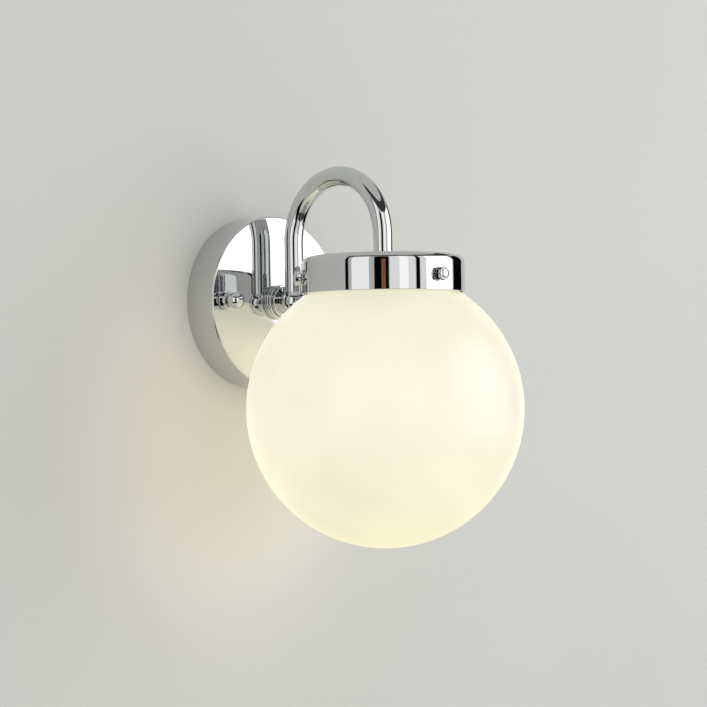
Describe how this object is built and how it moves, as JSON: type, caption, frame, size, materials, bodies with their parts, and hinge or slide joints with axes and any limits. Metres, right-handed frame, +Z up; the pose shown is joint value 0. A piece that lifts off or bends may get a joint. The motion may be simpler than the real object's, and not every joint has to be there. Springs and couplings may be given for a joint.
{
  "type": "globe wall sconce",
  "caption": "Wall light with a round canopy, an upside-down U arm on a ball hub, a drum-shaped shade holder and an opal glass globe held by thumb screws.",
  "frame": {"origin": "centre of the wall bracket's back face, on the wall and on the canopy's axis", "axes": "+Y points into the wall, so the light stands out along -Y; +Z is up; +X is to the right for someone facing the wall"},
  "size_m": [0.1524, 0.1832, 0.2132],
  "materials": {
    "chrome": "mirror-polished chromium plate",
    "zinc_steel": "bright zinc-plated steel",
    "opal_glass": "opal glass, satin white and glossy",
    "frosted_glass": "frosted lamp glass",
    "nickel": "nickel-plated lamp cap",
    "black_glass": "black vitrite insulator",
    "brass": "plain brass",
    "porcelain": "white glazed porcelain",
    "white_nylon": "translucent white nylon",
    "silicone": "soft clear-white silicone",
    "brown_lead": "brown wire insulation",
    "blue_lead": "blue wire insulation",
    "green_lead": "green wire insulation with tinned ring tags"
  },
  "bodies": {
    "fixture": {"canopy": "chrome", "hub_collar": "chrome", "ball_hub": "chrome", "arm_tube": "chrome", "gallery": "chrome", "wall_bracket": "zinc_steel", "bracket_studs": "zinc_steel", "stud_nuts": "zinc_steel", "hub_nipple": "zinc_steel", "nipple_washer": "zinc_steel", "nipple_nut": "zinc_steel", "gallery_washer": "zinc_steel", "gallery_nut": "zinc_steel", "gallery_bushes": "zinc_steel", "terminal_block": "white_nylon", "terminal_screws": "brass", "earth_screw": "brass", "screw_shell": "brass", "centre_contact": "brass", "neck_ring": "silicone", "holder_cap": "porcelain", "holder_body": "porcelain", "holder_insert": "porcelain", "lead_live": "brown_lead", "lead_neutral": "blue_lead", "earth_lead": "green_lead"},
    "globe": {"globe": "opal_glass"},
    "lamp": {"lamp_glass": "frosted_glass", "lamp_cap": "nickel", "lamp_insulator": "black_glass", "lamp_contact": "brass"},
    "screw_tip_1": {"screw_tip_1": "white_nylon"},
    "shade_screw_1": {"shade_screw_1": "chrome"},
    "screw_tip_2": {"screw_tip_2": "white_nylon"},
    "shade_screw_2": {"shade_screw_2": "chrome"},
    "screw_tip_3": {"screw_tip_3": "white_nylon"},
    "shade_screw_3": {"shade_screw_3": "chrome"},
    "nut_washer_left": {"nut_washer_left": "white_nylon"},
    "cap_nut_left": {"cap_nut_left": "chrome"},
    "nut_washer_right": {"nut_washer_right": "white_nylon"},
    "cap_nut_right": {"cap_nut_right": "chrome"}
  },
  "joints": [
    {"name": "shade_screw_1_travel", "type": "slide", "parent": "fixture", "child": "screw_tip_1", "axis": [-0.1045, -0.9945, 0], "range_m": [0, 0.0021]},
    {"name": "shade_screw_1_turn", "type": "hinge", "parent": "screw_tip_1", "child": "shade_screw_1", "pos_m": [-0.0047, -0.15175, 0.01], "axis": [-0.1045, -0.9945, 0], "range_deg": [0, 1080]},
    {"name": "shade_screw_2_travel", "type": "slide", "parent": "fixture", "child": "screw_tip_2", "axis": [0.9135, 0.4067, 0], "range_m": [0, 0.0021]},
    {"name": "shade_screw_2_turn", "type": "hinge", "parent": "screw_tip_2", "child": "shade_screw_2", "pos_m": [0.04111, -0.0887, 0.01], "axis": [0.9135, 0.4067, 0], "range_deg": [0, 1080]},
    {"name": "shade_screw_3_travel", "type": "slide", "parent": "fixture", "child": "screw_tip_3", "axis": [-0.809, 0.5878, 0], "range_m": [0, 0.0021]},
    {"name": "shade_screw_3_turn", "type": "hinge", "parent": "screw_tip_3", "child": "shade_screw_3", "pos_m": [-0.03641, -0.08055, 0.01], "axis": [-0.809, 0.5878, 0], "range_deg": [0, 1080]},
    {"name": "cap_nut_left_travel", "type": "slide", "parent": "fixture", "child": "nut_washer_left", "axis": [0, -1, 0], "range_m": [0, 0.0086]},
    {"name": "cap_nut_left_turn", "type": "hinge", "parent": "nut_washer_left", "child": "cap_nut_left", "pos_m": [-0.0413, -0.028, 0], "axis": [0, -1, 0], "range_deg": [0, 4423]},
    {"name": "cap_nut_right_travel", "type": "slide", "parent": "fixture", "child": "nut_washer_right", "axis": [0, -1, 0], "range_m": [0, 0.0086]},
    {"name": "cap_nut_right_turn", "type": "hinge", "parent": "nut_washer_right", "child": "cap_nut_right", "pos_m": [0.0413, -0.028, 0], "axis": [0, -1, 0], "range_deg": [0, 4423]},
    {"name": "globe_drop", "type": "slide", "parent": "fixture", "child": "globe", "axis": [0, 0, -1], "range_m": [0, 0.018]},
    {"name": "lamp_unscrew", "type": "slide", "parent": "fixture", "child": "lamp", "axis": [0, 0, -1], "range_m": [0, 0.021]}
  ],
  "couplings": [
    {"joint": "shade_screw_1_turn", "follows": "shade_screw_1_travel", "rad_per_m": 8976},
    {"joint": "shade_screw_2_turn", "follows": "shade_screw_2_travel", "rad_per_m": 8976},
    {"joint": "shade_screw_3_turn", "follows": "shade_screw_3_travel", "rad_per_m": 8976},
    {"joint": "cap_nut_left_turn", "follows": "cap_nut_left_travel", "rad_per_m": 8976},
    {"joint": "cap_nut_right_turn", "follows": "cap_nut_right_travel", "rad_per_m": 8976}
  ]
}
